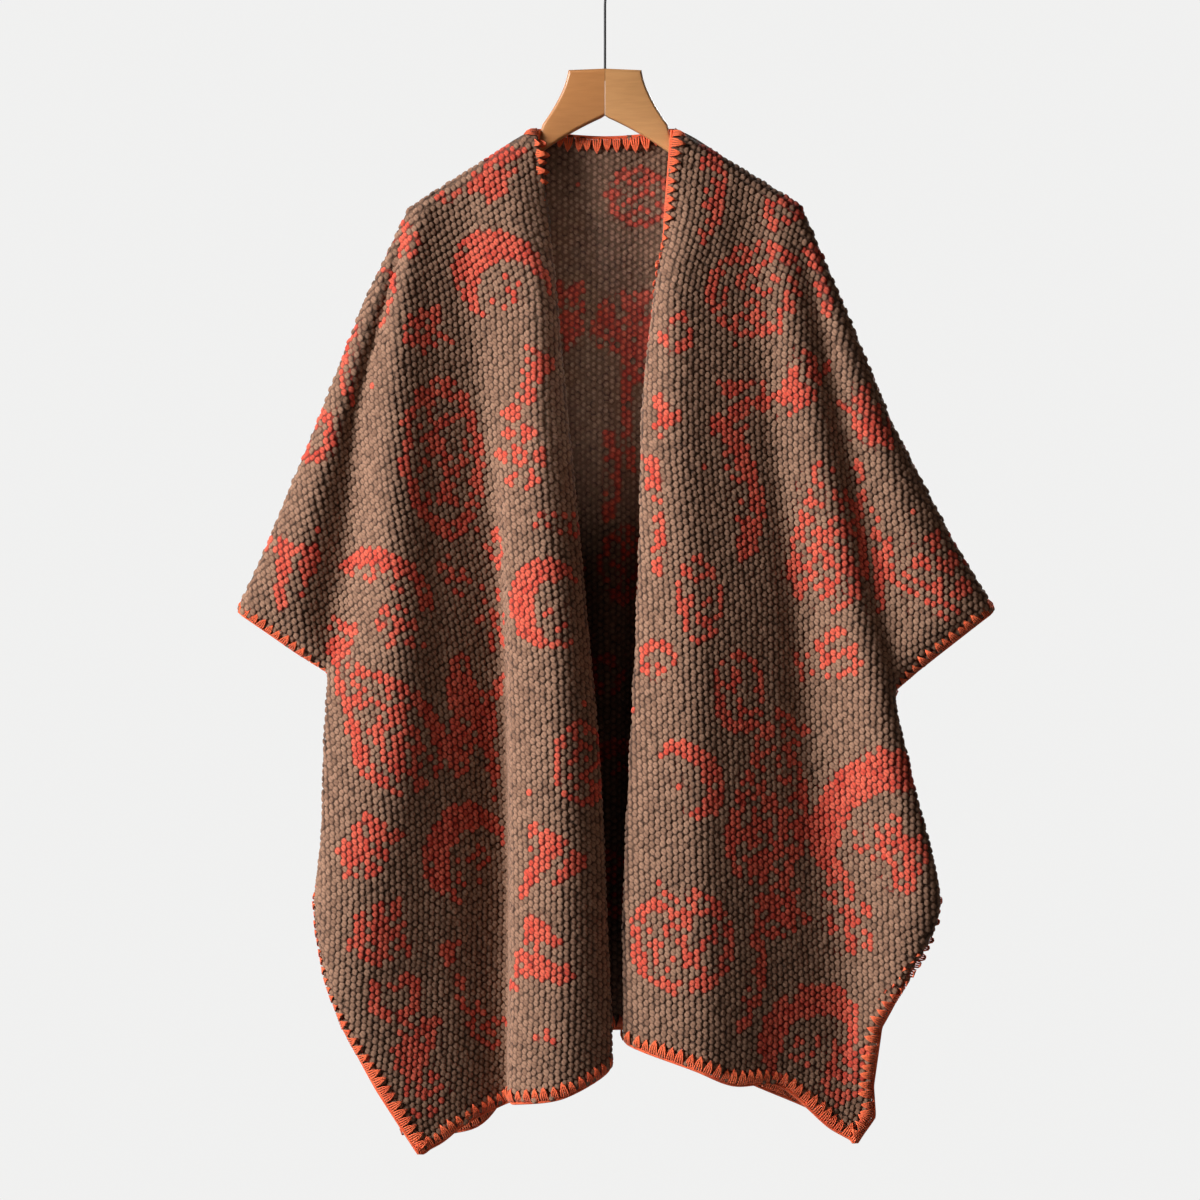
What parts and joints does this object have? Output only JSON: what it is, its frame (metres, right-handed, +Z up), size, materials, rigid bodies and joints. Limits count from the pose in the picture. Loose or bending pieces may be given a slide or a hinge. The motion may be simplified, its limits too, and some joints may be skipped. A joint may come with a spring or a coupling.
{
  "type": "open-front blanket cape on a coat hanger",
  "caption": "Open-front blanket cape of chunky nubby wool with paisley motifs and blanket-stitched edges, draped on a flat wooden hanger with a wire hook.",
  "frame": {"origin": "inside of the hook's crown, where the hanger hangs on a rail", "axes": "+Z up, +X to the viewer's right, the open front faces -Y"},
  "size_m": [0.757, 0.1231, 1.2005],
  "materials": {
    "wool_cloth": "matte chunky wool with coral motifs",
    "edge_yarn": "matte wool yarn",
    "hanger_wood": "satin lacquer",
    "hook_wire": "black satin"
  },
  "bodies": {
    "root": {"back": "wool_cloth", "right_front": "wool_cloth", "left_front": "wool_cloth", "hanger_arm_right": "hanger_wood", "hanger_arm_left": "hanger_wood", "hanger_hook": "hook_wire"}
  },
  "joints": []
}
